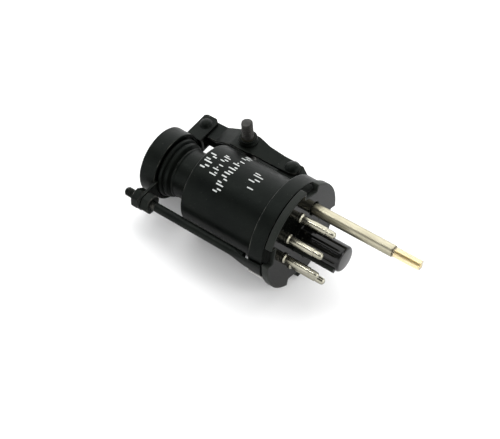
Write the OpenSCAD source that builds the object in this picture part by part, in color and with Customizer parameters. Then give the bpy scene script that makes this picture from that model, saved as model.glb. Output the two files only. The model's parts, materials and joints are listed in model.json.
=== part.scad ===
// Octal-based reflex klystron valve with a screw-adjusted bow tuner and a coaxial output probe.
// The valve is drawn upright about its own axis (+Z towards the cap, +X towards the tuner) and
// lay_down() puts it on its side, as it rests on a bench: on the base rim, the head rim and
// the lower end of the tuning screw. The origin is the centre of the base's seating face.

/* [Base] */
// Diameter of the phenolic base disc
base_d = 33.2; // [32.8:0.1:34]
// Thickness of the base disc
base_t = 2.2; // [1.8:0.1:2.4]
// Diameter of the locating key
key_d = 7.9; // [7.7:0.1:8.1]
// Length of the locating key below the seating face
key_h = 14.6; // [14:0.1:15]
// Diameter of a contact pin
pin_d = 2.36; // [2.3:0.01:2.42]
// Length of a contact pin below the seating face
pin_h = 11.5; // [10.7:0.1:11.7]
// Diameter of the circle that the eight pin positions lie on
pin_circle_d = 17.46; // [17.4:0.02:17.5]
// Diameter of the metal shell round the base
shell_d = 31.9; // [31.5:0.1:32.2]
// Height of that shell's top above the seating face
shell_top = 7.5; // [7:0.1:8]

/* [Valve body] */
// Diameter of the main can
can_d = 25.3; // [25:0.1:25.8]
// Height of the can's top above the seating face
can_top = 34.4; // [33.8:0.1:35]
// Wall of the can
can_wall = 0.8; // [0.6:0.1:0.9]
// Diameter of the neck sleeve
neck_d = 15.2; // [15:0.1:15.6]

/* [Head] */
// Diameter of the head cup
head_d = 21.2; // [20.8:0.1:21.6]
// Height of the head cup's lower edge above the seating face
head_z = 45.9; // [45.7:0.1:46.2]
// Height of the head cup
head_h = 5.5; // [5.2:0.1:6]
// Diameter of the reflector cap
cap_d = 6.35; // [6.2:0.05:6.5]

/* [Output probe] */
// Outer diameter of the coaxial tube
coax_d = 3.56; // [3.4:0.02:3.7]
// Length of the coaxial tube below the seating face
coax_h = 26.4; // [25:0.2:28]
// Length of the insulating sleeve beyond the coaxial tube
sleeve_h = 8.8; // [8:0.2:10]

/* [Tuner] */
// Distance of the tuning screw from the valve's axis
screw_x = 16.6; // [16.4:0.1:17]
// Height of the tuning screw above the seating face
screw_z = 31.2; // [30.8:0.1:31.6]
// Diameter of the tuning screw
screw_d = 3.5; // [3.3:0.1:3.6]
// Distance of the screw's upper end from the mid-plane of the bow
screw_up = 13.3; // [12.5:0.1:14]
// Thickness of a bow strip
bow_t = 0.8; // [0.6:0.1:0.8]
// Height of a bow strip's outer face over the mid-plane at the screw
bow_rise = 5.3; // [5:0.1:5.4]

/* [Strut] */
// Distance of the strut rod from the valve's axis
strut_x = 15.3; // [15.1:0.1:15.6]
// Diameter of the strut rod
strut_d = 2.75; // [2.6:0.05:2.9]
// Height of the strut's upper end above the seating face
strut_top = 52.4; // [52:0.1:54]
// Width across flats of the strut nuts
nut_af = 5.5; // [5:0.1:5.6]

/* [Hidden] */
$fn = 64;

fit = 0.03;            // gap round pieces that are fixed together
running = 0.05;        // radial running clearance
head_top = head_z + head_h;
edge_break = 0.3;      // chamfer on turned edges

// Lean of the resting valve: its shadow line touches the base rim and the head rim
lean = atan((base_d - head_d) / 2 / (head_top - edge_break - base_t));

// Angles about the valve's axis, counted from the tuner
probe_angle = -47;
pin_step = 45;
pin_numbers = [3, 2, 1, 8];
function pin_angle(number) = probe_angle - pin_step * (number == 8 ? 4 : 4 - number);
empty_pins = [1, 2, 3];                    // positions without a pin, in steps past the probe
notch_angles = [for (i = [0:3]) probe_angle - pin_step / 2 + 90 * i];
key_rib_angle = probe_angle - 3.5 * pin_step;
pin_r = pin_circle_d / 2;

// Base
register_top = 3.0;
pin_top = 3.6;
shell_wall = 0.8;
shell_bottom = base_t + 0.5;
notch_w = 5.5;
notch_depth = 2.6;
lug_w = 4.7;
lug_z = 1.1;
key_bore_d = 5.6;
key_floor = 1.6;
probe_hole_d = coax_d + 0.7;
coax_wall = 0.25;
coax_shoulder = -0.4;   // height where the probe's tube narrows to pass through the base
coax_inner_r = coax_d / 2 - coax_wall;  // radius of its tube inside the base and the can

// Inside of the can
can_in = can_d / 2 - can_wall;
header_z = 6.0;
header_t = 0.8;
glass_r = 4.9;
glass_top = 8.4;
lead_r = 0.35;
lead_circle_r = 3.2;
lead_elbow_z = 4.4;
gun_z = 15.5;
gun_t = 0.8;
cathode_r = 1.6;
cathode_top = 23.4;
resonator_z = 27.5;
coax_end = 30.1;       // end of the probe's tube inside the can
gap_low = 35.7;        // lower wall of the resonator gap
gap_high = 36.4;       // upper wall of the resonator gap
grid_r = 2.2;
grid_t = 0.2;
foil = 0.4;            // wall of the spun sheet parts

// Neck and diaphragm
neck_r = neck_d / 2;
neck_top = 41.8;
neck_wall = 0.6;
floor_z = head_z + 0.8;  // underside of the head cup's floor
floor_t = 0.8;
skin = 0.3;            // wall of the diaphragm

// Tuner
plate_in = 2.0;        // inner face of a bracket plate, from the mid-plane
plate_t = 0.9;
head_rivet_z = 47.5;
base_rivet_z = 15.3;
rivet_r = 1.2;
rivet_x = 16.6;
nut_r = 2.9;
nut_t = 1.9;
bush_r = 2.15;
bush_over = 0.35;
// The screw's lower end reaches the bench at this distance from the mid-plane
screw_down = base_d / 2 - (screw_z + screw_d / 2 - edge_break - base_t) * tan(lean);
bow_mid = bow_rise - bow_t / 2;
bow_head = plate_in - 0.1 - bow_t / 2;
bow_base = plate_in + plate_t + bow_t / 2;
// Middle line of a bow strip: height, distance from the mid-plane
bow_line = [
    [49.7, bow_head], [41.4, bow_head], [35.2, bow_mid - 0.3], [33.6, bow_mid],
    [28.8, bow_mid], [27.4, bow_mid - 0.15], [19.4, bow_base], [12.4, bow_base]
];
bow_end_r = 2.4;       // rounded lower end of a bow strip
// Outline of a bow strip: distance from the axis, height
bow_outline = concat(
    [
        [14.0, 19.5], [13.2, 27], [12.7, 29], [12.7, 34.6], [13.3, 41.4], [13.2, 50],
        [19.6, 50], [19.8, 41.4], [19.9, 35], [19.8, 29.4], [18.9, 24.9]
    ],
    [for (a = [10:-10:-190]) [rivet_x, base_rivet_z] + bow_end_r * [cos(a), sin(a)]]
);

// Strut
ear_t = 0.8;
ear_z = head_z - ear_t;
ear_r = 3.0;
strut_nut_h = 2.6;
foot_top = 13.6;
foot_t = 0.9;

black = [0.10, 0.105, 0.10];
nickel = [0.72, 0.70, 0.64];
steel = [0.55, 0.55, 0.54];

// Puts the upright valve on its side, pins towards +X, tuner towards +Y
module lay_down() {
    rotate([0, -lean, 0]) rotate([-90, 0, 0]) rotate([0, -90, 0]) children();
}

// Turned solid from a profile of [radius, height] points
module turned(points) {
    rotate_extrude($fn = 96) polygon(points);
}

// Straight tube between two heights
module tube(r_out, r_in, z0, z1) {
    translate([0, 0, z0]) difference() {
        cylinder(r = r_out, h = z1 - z0);
        translate([0, 0, -1]) cylinder(r = r_in, h = z1 - z0 + 2);
    }
}

// Places children at an angle and radius about the valve's axis
module around(angle, r) {
    rotate([0, 0, angle]) translate([r, 0, 0]) children();
}

// Plate lying in the bow's plane between two distances from its mid-plane; children are its outline
module plate(from, to) {
    translate([0, -from, 0]) rotate([90, 0, 0]) linear_extrude(to - from) children();
}

// Pin through both halves of the tuner, along the screw's direction
module cross_pin(x, z, r, up, down) {
    translate([x, down, z]) rotate([90, 0, 0]) cylinder(r = r, h = up + down);
}

module octal_base() {
    key_r = key_d / 2;
    color(black) lay_down() difference() {
        union() {
            cylinder(r = base_d / 2, h = base_t, $fn = 96);
            cylinder(r = shell_d / 2 - shell_wall - 0.2, h = register_top);
            turned([[0, -key_h], [key_r - 0.7, -key_h], [key_r, -key_h + 0.7], [key_r, 1], [0, 1]]);
            rotate([0, 0, key_rib_angle]) translate([key_r - 1, -1, -key_h + 1.2])
                cube([1.9, 2, key_h - 0.7]);
        }
        translate([0, 0, -key_h + key_floor]) cylinder(r = key_bore_d / 2, h = key_h + 10);
        for (n = pin_numbers) around(pin_angle(n), pin_r) translate([0, 0, -1])
            cylinder(r = 1 + fit, h = 9);
        for (i = empty_pins) around(probe_angle + pin_step * i, pin_r) translate([0, 0, -1])
            cylinder(r = 1 + fit, h = 9);
        around(probe_angle, pin_r) translate([0, 0, -1]) cylinder(r = probe_hole_d / 2, h = 9);
        for (a = notch_angles) rotate([0, 0, a])
            translate([base_d / 2 - notch_depth, -notch_w / 2, -1]) cube([5, notch_w, 9]);
    }
}

module base_shell() {
    r = shell_d / 2;
    soft = 0.25;
    lug_r = r - 0.1;
    hook = 1.5;
    color(black) lay_down() {
        turned([
            [r - shell_wall, shell_bottom], [r, shell_bottom], [r, shell_top - 2 * soft],
            [r - soft, shell_top - soft / 2], [r - 2 * soft, shell_top],
            [can_d / 2 + fit, shell_top], [can_d / 2 + fit, shell_top - shell_wall],
            [r - shell_wall, shell_top - shell_wall]
        ]);
        for (a = notch_angles) rotate([0, 0, a]) intersection() {
            turned([
                [lug_r, lug_z], [lug_r, shell_bottom + 0.3],
                [lug_r - shell_wall + 0.2, shell_bottom + 0.3],
                [lug_r - shell_wall, lug_z + shell_wall], [lug_r - hook, lug_z + shell_wall],
                [lug_r - hook, lug_z]
            ]);
            translate([r - 4, -lug_w / 2, 0]) cube([6, lug_w, 4]);
        }
    }
}

// Contact pin with a collar against the seating face and a rounded tip
module base_pin(number) {
    r = pin_d / 2;
    collar_r = 1.5;
    collar_h = 0.5;
    tip = [for (a = [0:15:90]) [r * sin(a), -pin_h + r * (1 - cos(a))]];
    color(nickel) lay_down() around(pin_angle(number), pin_r) turned(concat(
        tip,
        [[r, -collar_h - 0.2], [collar_r, -collar_h], [collar_r, 0], [1, 0], [1, pin_top], [0, pin_top]]
    ));
}
module base_pin_1() { base_pin(1); }
module base_pin_2() { base_pin(2); }
module base_pin_3() { base_pin(3); }
module base_pin_8() { base_pin(8); }

module can_body() {
    r = can_d / 2;
    soft = 0.2;
    color(black) lay_down() turned([
        [can_in, register_top + 0.4], [r, register_top + 0.4], [r, can_top - 2 * soft],
        [r - soft, can_top - soft / 2], [r - 2 * soft, can_top], [neck_r + fit, can_top],
        [neck_r + fit, can_top - can_wall], [can_in, can_top - can_wall]
    ]);
}

module neck_sleeve() {
    color(black) lay_down() turned([
        [neck_r - neck_wall, can_top - can_wall - 0.6], [neck_r + 1.2, can_top - can_wall - 0.6],
        [neck_r + 1.2, can_top - can_wall - fit], [neck_r, can_top - can_wall - fit],
        [neck_r, neck_top - 0.6], [neck_r + 0.3, neck_top - 0.3], [neck_r + 0.3, neck_top],
        [neck_r - neck_wall, neck_top]
    ]);
}

// Corrugated flexing wall between the neck and the head: crests and roots as [radius, height]
module diaphragm() {
    waves = [
        [7.4, neck_top], [7.2, neck_top + 0.5], [8.5, neck_top + 1.1], [8.8, neck_top + 1.8],
        [8.5, neck_top + 2.3], [8.0, neck_top + 2.6], [9.0, neck_top + 2.9],
        [9.3, neck_top + 3.4], [9.1, neck_top + 4.0], [7.6, neck_top + 4.3],
        [7.4, floor_z]
    ];
    last = len(waves) - 1;
    color(black) lay_down() turned(concat(
        waves,
        [for (i = [last:-1:0]) waves[i] - [skin + (i > 1 && i < last - 1 ? 0.15 : 0), 0]]
    ));
}

module head_cup() {
    r = head_d / 2;
    wall = 0.8;
    color(black) lay_down() turned([
        [r - wall, head_z], [r, head_z], [r, head_top - edge_break], [r - edge_break, head_top],
        [r - wall, head_top], [r - wall, floor_z + floor_t], [cap_d / 2 + 1.4, floor_z + floor_t],
        [cap_d / 2 + 1.4, floor_z], [r - wall, floor_z]
    ]);
}

module cap_bead() {
    color([0.75, 0.82, 0.80, 0.6]) lay_down() turned([
        [0.5, floor_z], [cap_d / 2 + 1.4 - fit, floor_z],
        [cap_d / 2 + 1.4 - fit, floor_z + floor_t], [3.4, floor_z + 1.6], [0.5, floor_z + 1.6]
    ]);
}

module reflector_cap() {
    r = cap_d / 2;
    z = floor_z + 1.6;
    color(nickel) lay_down() turned([
        [0, z + 0.5], [0.5, z + 0.5], [0.5, z], [r, z], [r, head_top - 0.1],
        [r - 0.5, head_top + 0.4], [0, head_top + 0.4]
    ]);
}

module reflector_lead() {
    color(steel) lay_down() translate([0, 0, 39.8]) cylinder(r = 0.45, h = floor_z + 2.1 - 39.8);
}

// Shallow cup that turns the electrons back
module reflector() {
    color(steel) lay_down() turned([
        [0, 39], [1.4, 38], [1.8, 38], [1.8, 39.8], [0, 39.8]
    ]);
}

// Cone that carries the upper grid below the head
module grid_carrier() {
    color(steel) lay_down() turned([
        [grid_r, gap_high], [grid_r + foil, gap_high], [6.0, floor_z - 0.6], [6.4, floor_z],
        [5.4, floor_z], [5.4, floor_z - 0.6]
    ]);
}

// Round grid of crossed bars
module grid(z) {
    bar = 0.2;
    pitch = 0.6;
    translate([0, 0, z]) {
        difference() {
            cylinder(r = grid_r - fit, h = grid_t);
            translate([0, 0, -1]) cylinder(r = grid_r - 0.35, h = 2);
        }
        intersection() {
            cylinder(r = grid_r - 0.3, h = grid_t);
            for (i = [-3:3]) {
                translate([i * pitch - bar / 2, -grid_r, 0]) cube([bar, 2 * grid_r, grid_t]);
                translate([-grid_r, i * pitch - bar / 2, 0]) cube([2 * grid_r, bar, grid_t]);
            }
        }
    }
}
module upper_grid() { color("gold") lay_down() grid(gap_high); }
module lower_grid() { color("gold") lay_down() grid(gap_low - grid_t); }

// Lower wall of the resonator, rising to the lower grid
module resonator_cone() {
    r = can_in - fit;
    color([0.72, 0.45, 0.30]) lay_down() difference() {
        turned([
            [r, resonator_z], [r, resonator_z + 0.8], [grid_r + foil, gap_low], [grid_r, gap_low],
            [grid_r, gap_low - 0.5], [r - 1.2, resonator_z]
        ]);
        around(probe_angle, pin_r) translate([0, 0, resonator_z - 1])
            cylinder(r = coax_inner_r + fit, h = 8);
    }
}

// Tube of the output probe, a little thinner where it is hidden inside the can
module coax_tube() {
    r = coax_d / 2;
    bore = coax_inner_r - coax_wall;
    color(nickel) lay_down() around(probe_angle, pin_r) turned([
        [r - coax_wall, -coax_h], [r, -coax_h], [r, coax_shoulder], [coax_inner_r, coax_shoulder],
        [coax_inner_r, coax_end], [bore, coax_end], [bore, coax_shoulder - coax_wall],
        [r - coax_wall, coax_shoulder - coax_wall]
    ]);
}

module coax_sleeve() {
    r = coax_d / 2 - coax_wall - fit;
    color([0.80, 0.62, 0.20, 0.6]) lay_down() around(probe_angle, pin_r)
        tube(r, 0.5, -coax_h - sleeve_h, -coax_h + 5);
}

module coax_wire() {
    color(nickel) lay_down() around(probe_angle, pin_r) translate([0, 0, -coax_h - sleeve_h + 0.6])
        cylinder(r = 0.4, h = coax_h + sleeve_h - 0.6 + resonator_z + 4.4);
}

// Loop that couples the probe to the resonator
module coupling_loop() {
    z = resonator_z + 4.8;
    limb_x = coax_inner_r - coax_wall / 2;
    color(nickel) lay_down() around(probe_angle, pin_r) {
        translate([-0.4, 0, z]) rotate([0, 90, 0]) cylinder(r = 0.4, h = limb_x + 0.8);
        translate([limb_x, 0, coax_end + fit]) cylinder(r = 0.4, h = z - coax_end - fit);
    }
}

module stem_header() {
    color(steel) lay_down() difference() {
        translate([0, 0, header_z]) cylinder(r = can_in - fit, h = header_t);
        translate([0, 0, header_z - 1]) cylinder(r = glass_r + fit, h = 3);
        around(probe_angle, pin_r) translate([0, 0, header_z - 1])
            cylinder(r = coax_inner_r + fit, h = 3);
    }
}

module glass_stem() {
    color([0.75, 0.82, 0.80, 0.6]) lay_down() difference() {
        translate([0, 0, header_z - 0.2]) cylinder(r = glass_r, h = glass_top - header_z + 0.2);
        translate([0, 0, 0]) cylinder(r = 1.2 + fit, h = 12);
        for (n = pin_numbers) around(pin_angle(n), lead_circle_r) cylinder(r = lead_r + fit, h = 12);
    }
}

// Tube that the valve was pumped through, pinched off inside the key
module exhaust_tip() {
    color([0.72, 0.45, 0.30]) lay_down() turned([
        [0, -10.5], [0.5, -10.5], [1.2, -8.5], [1.2, glass_top + 1], [0.8, glass_top + 1],
        [0.8, -8], [0, -8]
    ]);
}

// Leads from the pins through the glass to the electron gun
module stem_leads() {
    color(steel) lay_down() for (n = pin_numbers) rotate([0, 0, pin_angle(n)]) {
        translate([pin_r, 0, pin_top]) cylinder(r = lead_r, h = lead_elbow_z - pin_top + lead_r);
        translate([lead_circle_r, 0, lead_elbow_z]) rotate([0, 90, 0])
            cylinder(r = lead_r, h = pin_r - lead_circle_r);
        translate([lead_circle_r, 0, lead_elbow_z]) cylinder(r = lead_r, h = gun_z - lead_elbow_z);
    }
}

module gun_insulator() {
    color([0.85, 0.83, 0.78]) lay_down() tube(6.4, 1.0, gun_z, gun_z + gun_t);
}

// Folded heater wire inside the cathode
module heater() {
    limb = 0.45;
    color(steel) lay_down() {
        for (side = [-1, 1]) translate([side * limb, 0, gun_z - 2]) cylinder(r = 0.2, h = 8.5);
        translate([-limb, 0, gun_z + 6.5]) rotate([0, 90, 0]) cylinder(r = 0.2, h = 2 * limb);
    }
}

module cathode() {
    color([0.80, 0.80, 0.76]) lay_down() turned([
        [cathode_r - 0.3, gun_z + gun_t], [cathode_r, gun_z + gun_t], [cathode_r, cathode_top],
        [0, cathode_top - 0.3], [0, cathode_top - 0.6], [cathode_r - 0.3, cathode_top - 0.4]
    ]);
}

module focus_electrode() {
    z = gun_z + gun_t;
    color(steel) lay_down() turned([
        [4.6, z], [5.0, z], [5.0, cathode_top + 1.6], [3.4, cathode_top + 2.6],
        [2.0, cathode_top], [2.0, cathode_top - 0.4], [3.3, cathode_top + 2],
        [4.6, cathode_top + 1.4]
    ]);
}

module getter_ring() {
    color(steel) lay_down() translate([0, 0, 12]) rotate_extrude() translate([5.2, 0])
        circle(r = 0.4, $fn = 24);
}

module strut_rod() {
    r = strut_d / 2;
    color(black) lay_down() translate([-strut_x, 0, 0]) turned([
        [0, 9.4], [r, 9.4], [r, strut_top - 0.4], [r - 0.4, strut_top], [0, strut_top]
    ]);
}

// Flattened end that is spot-welded over the base shell
module strut_foot() {
    r = shell_d / 2 + fit;
    inner = strut_x - strut_d / 2;
    outer = strut_x + strut_d / 2;
    profile = [
        [inner, foot_top], [outer, foot_top], [r + foot_t, 8.2], [r + foot_t, shell_bottom],
        [r, shell_bottom], [r, shell_top - 0.1], [inner, 9.2]
    ];
    spread = [[-1.45, foot_top + 1], [1.45, foot_top + 1], [2.4, shell_bottom], [-2.4, shell_bottom]];
    color(black) lay_down() rotate([0, 0, 180]) difference() {
        intersection() {
            translate([0, 3, 0]) rotate([90, 0, 0]) linear_extrude(6) polygon(profile);
            rotate([90, 0, 90]) linear_extrude(20) polygon(spread);
        }
        translate([0, 0, 0]) cylinder(r = r, h = shell_top + fit);
        translate([strut_x, 0, 9]) cylinder(r = strut_d / 2 + fit, h = 9);
    }
}

// Hexagon nut on the strut between two heights
module strut_nut(z) {
    color(black) lay_down() translate([-strut_x, 0, z]) difference() {
        intersection() {
            cylinder(r = nut_af / 2 / cos(30), h = strut_nut_h, $fn = 6);
            turned([
                [0, 0], [nut_af / 2 + 0.1, 0], [nut_af / 2 + 0.5, 0.4],
                [nut_af / 2 + 0.5, strut_nut_h - 0.4], [nut_af / 2 + 0.1, strut_nut_h],
                [0, strut_nut_h]
            ]);
        }
        translate([0, 0, -1]) cylinder(r = strut_d / 2 + fit, h = strut_nut_h + 2);
    }
}
module strut_nut_outer() { strut_nut(head_z + 0.1); }
module strut_nut_inner() { strut_nut(ear_z - strut_nut_h - 0.1); }

// Ear of the head that the strut passes through
module strut_ear() {
    color(black) lay_down() difference() {
        translate([0, 0, ear_z]) union() {
            translate([-strut_x, 0, 0]) cylinder(r = ear_r, h = ear_t);
            translate([-strut_x, -ear_r, 0]) cube([strut_x - 5, 2 * ear_r, ear_t]);
        }
        cylinder(r = head_d / 2 - 0.8, h = 60);
        translate([-strut_x, 0, 0]) cylinder(r = strut_d / 2 + 0.25, h = 60);
    }
}

// Short locating wire welded to the base shell beside the strut's foot
module foot_wire() {
    color(steel) lay_down() rotate([0, 0, 166]) translate([shell_d / 2 + 0.3, 0, shell_bottom])
        cylinder(r = 0.25, h = 5.2, $fn = 24);
}

// Channel on the can that holds the lower end of the bow
module base_bracket() {
    low = shell_top + 0.1;
    outline = [
        [11, low], [15.9, low], [17.6, 10.8], [19.2, 13.2], [19.2, 17.6], [18.4, 18.8], [11, 18.8]
    ];
    reach = plate_in + plate_t;
    color(black) lay_down() difference() {
        union() {
            for (side = [0, 1]) mirror([0, side, 0]) plate(plate_in, reach) polygon(outline);
            translate([11, -reach, low]) cube([2.6, 2 * reach, 18.8 - low]);
        }
        cylinder(r = can_d / 2 + fit, h = 30);
        cross_pin(rivet_x, base_rivet_z, rivet_r + fit, 9, 9);
    }
}

// Channel on the head that holds the upper end of the bow
module head_bracket() {
    low = head_z - 1.2;
    high = head_z + 4.3;
    reach = plate_in + plate_t;
    color(black) lay_down() difference() {
        union() {
            for (side = [0, 1]) mirror([0, side, 0]) plate(plate_in, reach)
                polygon([[9, low], [20, low], [20, high], [9, high]]);
            translate([9, -reach, low]) cube([2.6, 2 * reach, high - low]);
        }
        cylinder(r = head_d / 2 + fit, h = 60);
        cross_pin(rivet_x, head_rivet_z, rivet_r + fit, 9, 9);
    }
}

// Rivet across the bow: shank and two domed heads
module rivet(z, half, head_r) {
    dome = head_r * 0.55;
    ball = (head_r * head_r + dome * dome) / (2 * dome);
    cross_pin(rivet_x, z, rivet_r, half, half);
    for (side = [0, 1]) mirror([0, side, 0]) translate([rivet_x, -half, z]) rotate([90, 0, 0])
        intersection() {
            cylinder(r = head_r, h = dome + 1);
            translate([0, 0, dome - ball]) sphere(r = ball, $fn = 64);
        }
}
module base_rivet() { color(black) lay_down() rivet(base_rivet_z, plate_in + plate_t + bow_t, 2.4); }
module head_rivet() { color(black) lay_down() rivet(head_rivet_z, plate_in + plate_t, 2.1); }

// Washer stack that keeps the two strips apart on the head rivet
module bow_spacer() {
    half = plate_in - 0.1 - bow_t - 0.05;
    color(black) lay_down() difference() {
        cross_pin(rivet_x, head_rivet_z, 2.4, half, half);
        cross_pin(rivet_x, head_rivet_z, rivet_r + fit, 9, 9);
    }
}

// Spring strip of the bow, bent over the screw and rounded at its lower end
module bow_strip() {
    top = [for (p = bow_line) p + [0, bow_t / 2]];
    last = len(bow_line) - 1;
    under = [for (i = [last:-1:0]) bow_line[i] - [0, bow_t / 2]];
    difference() {
        intersection() {
            rotate([180, -90, 0]) linear_extrude(30) polygon(concat(top, under));
            plate(0, 9) polygon(bow_outline);
        }
        cross_pin(rivet_x, head_rivet_z, rivet_r + 0.15, 9, 0);
        cross_pin(rivet_x, base_rivet_z, rivet_r + fit, 9, 0);
        cross_pin(screw_x, screw_z, bush_r + 0.1, 9, 0);
    }
}
module bow_strip_upper() { color(black) lay_down() bow_strip(); }
module bow_strip_lower() { color(black) lay_down() mirror([0, 1, 0]) bow_strip(); }

module tuner_screw() {
    r = screw_d / 2;
    length = screw_up + screw_down;
    color(black) lay_down() translate([screw_x, screw_down, screw_z]) rotate([90, 0, 0]) turned([
        [0, 0], [r - edge_break, 0], [r, edge_break], [r, length - edge_break],
        [r - edge_break, length], [0, length]
    ]);
}

// Round flange that presses on a bow strip
module tuner_nut() {
    z0 = bow_rise + 0.05;
    translate([screw_x, -z0, screw_z]) rotate([90, 0, 0]) turned([
        [bush_r + fit, 0], [nut_r, 0], [nut_r, nut_t - 0.3], [nut_r - 0.3, nut_t],
        [bush_r + fit, nut_t]
    ]);
}
module tuner_nut_upper() { color(black) lay_down() tuner_nut(); }
module tuner_nut_lower() { color(black) lay_down() mirror([0, 1, 0]) tuner_nut(); }

// Threaded brass bush inside that flange
module tuner_bush() {
    z0 = bow_rise - bow_t - 0.4;
    high = bow_rise + nut_t + bush_over - z0;
    translate([screw_x, -z0, screw_z]) rotate([90, 0, 0]) turned([
        [screw_d / 2 + running, 0], [bush_r, 0], [bush_r, high - 0.15], [bush_r - 0.15, high],
        [screw_d / 2 + running, high]
    ]);
}
module tuner_bush_upper() { color("goldenrod") lay_down() tuner_bush(); }
module tuner_bush_lower() { color("goldenrod") lay_down() mirror([0, 1, 0]) tuner_bush(); }

octal_base();
base_shell();
base_pin_1();
base_pin_2();
base_pin_3();
base_pin_8();
can_body();
neck_sleeve();
diaphragm();
head_cup();
reflector_cap();
cap_bead();
reflector_lead();
reflector();
grid_carrier();
upper_grid();
lower_grid();
resonator_cone();
coax_tube();
coax_sleeve();
coax_wire();
coupling_loop();
stem_header();
glass_stem();
exhaust_tip();
stem_leads();
gun_insulator();
heater();
cathode();
focus_electrode();
getter_ring();
strut_rod();
strut_foot();
strut_nut_outer();
strut_nut_inner();
strut_ear();
foot_wire();
base_bracket();
head_bracket();
base_rivet();
head_rivet();
bow_spacer();
bow_strip_upper();
bow_strip_lower();
tuner_screw();
tuner_nut_upper();
tuner_nut_lower();
tuner_bush_upper();
tuner_bush_lower();
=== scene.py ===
import json
import math

import bmesh
import bpy
from mathutils import Matrix, Vector
from mathutils.geometry import tessellate_polygon


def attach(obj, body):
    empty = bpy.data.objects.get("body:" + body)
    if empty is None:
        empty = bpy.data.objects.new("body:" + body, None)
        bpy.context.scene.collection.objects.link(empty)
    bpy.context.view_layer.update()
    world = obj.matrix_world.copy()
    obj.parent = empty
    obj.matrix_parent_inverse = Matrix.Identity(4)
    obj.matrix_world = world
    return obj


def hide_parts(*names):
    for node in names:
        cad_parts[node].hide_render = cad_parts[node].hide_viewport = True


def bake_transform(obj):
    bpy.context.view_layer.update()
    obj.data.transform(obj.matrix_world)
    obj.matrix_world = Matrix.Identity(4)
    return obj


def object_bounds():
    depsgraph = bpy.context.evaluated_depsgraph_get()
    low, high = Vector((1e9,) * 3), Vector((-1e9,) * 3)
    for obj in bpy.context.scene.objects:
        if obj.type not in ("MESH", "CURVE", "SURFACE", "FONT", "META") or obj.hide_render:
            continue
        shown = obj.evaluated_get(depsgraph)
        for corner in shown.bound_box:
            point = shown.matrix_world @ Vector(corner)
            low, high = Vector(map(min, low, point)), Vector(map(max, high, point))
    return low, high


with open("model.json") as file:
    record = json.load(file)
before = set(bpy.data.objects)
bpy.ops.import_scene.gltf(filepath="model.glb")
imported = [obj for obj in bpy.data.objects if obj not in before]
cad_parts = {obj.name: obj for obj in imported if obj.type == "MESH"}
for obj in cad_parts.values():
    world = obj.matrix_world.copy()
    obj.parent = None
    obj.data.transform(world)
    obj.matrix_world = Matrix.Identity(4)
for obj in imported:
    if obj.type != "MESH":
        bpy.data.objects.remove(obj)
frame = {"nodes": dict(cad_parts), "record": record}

CAD_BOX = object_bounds()
SCENE = bpy.context.scene

# Shapes are written upright in millimetres, as in the CAD source: +Z towards the cap, +X towards the
# tuner. ROW lays them on their side, in metres. Profiles are lists of (radius, height, rounding of that
# corner).
MM = 0.001
BASE_R, HEAD_R, CAN_R, SHELL_R, NECK_R = 16.6, 10.6, 12.65, 15.95, 7.6
HEAD_TOP, CAN_TOP, NECK_TOP, SHELL_TOP, BASE_T = 51.4, 34.4, 41.8, 7.5, 2.2
EDGE = 0.3  # rounding of the edges that touch the floor
LEAN = math.atan((BASE_R - HEAD_R) / (HEAD_TOP - EDGE - BASE_T))
LEAN_C, LEAN_S = math.cos(LEAN), math.sin(LEAN)
ROW = Matrix(((0, LEAN_S, -LEAN_C, 0), (1, 0, 0, 0), (0, -LEAN_C, -LEAN_S, 0), (0, 0, 0, 1)))
PROBE_ANGLE, PIN_R = -47, 8.73
PINS = {3: PROBE_ANGLE - 45, 2: PROBE_ANGLE - 90, 1: PROBE_ANGLE - 135, 8: PROBE_ANGLE - 180}
EMPTY = [PROBE_ANGLE + 45 * i for i in (1, 2, 3)]
NOTCHES = [PROBE_ANGLE - 22.5 + 90 * i for i in range(4)]
STRUT_X = 15.3
SCREW_X, SCREW_Z, SCREW_R, SCREW_PITCH = 16.6, 31.2, 1.75, 0.794
LOW_RIVET_Z, HIGH_RIVET_Z = 15.3, 47.5  # both rivets stand at SCREW_X
BOW_REACH = 4.9  # from the valve's middle plane to the middle of a strip, at the screw
WALL = 0.8  # thickness of the drawn shells
SLIP = 0.03  # gap where one shell slips over another


def polar(angle, r, z=0.0):
    a = math.radians(angle)
    return (r * math.cos(a), r * math.sin(a), z)


def place(x=0.0, y=0.0, z=0.0):
    return Matrix.Translation((x, y, z))


# Local z along the screw's visible end (-Y), local x along X, local y along Z
ACROSS = Matrix(((1, 0, 0, 0), (0, 0, -1, 0), (0, 1, 0, 0), (0, 0, 0, 1)))


# ---------------------------------------------------------------- camera

def make_camera():
    data = bpy.data.cameras.new("camera")
    cam = bpy.data.objects.new("camera", data)
    SCENE.collection.objects.link(cam)
    data.sensor_width = 36.0
    data.lens = 87.886
    data.clip_start, data.clip_end = 0.01, 20.0
    forward = Vector((-0.30918196, 0.46262724, -0.83089262))
    up = Vector((-0.51588107, 0.65239159, 0.55520441))
    spot = Vector((0.092175, -0.165064, 0.288112))
    right = forward.cross(up)
    cam.matrix_world = Matrix((
        (right.x, up.x, -forward.x, spot.x),
        (right.y, up.y, -forward.y, spot.y),
        (right.z, up.z, -forward.z, spot.z),
        (0, 0, 0, 1),
    ))
    SCENE.camera = cam


make_camera()
SCENE.view_settings.view_transform = "Standard"


# ---------------------------------------------------------------- materials

def fill(band, stops):
    """Gives a colour ramp its stops, each (position, grey value or colour)."""
    while len(band.elements) < len(stops):
        band.elements.new(0.5)
    for e, (pos, value) in zip(band.elements, stops):
        e.position = pos
        e.color = (value, value, value, 1) if isinstance(value, float) else (*value, 1)


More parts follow.
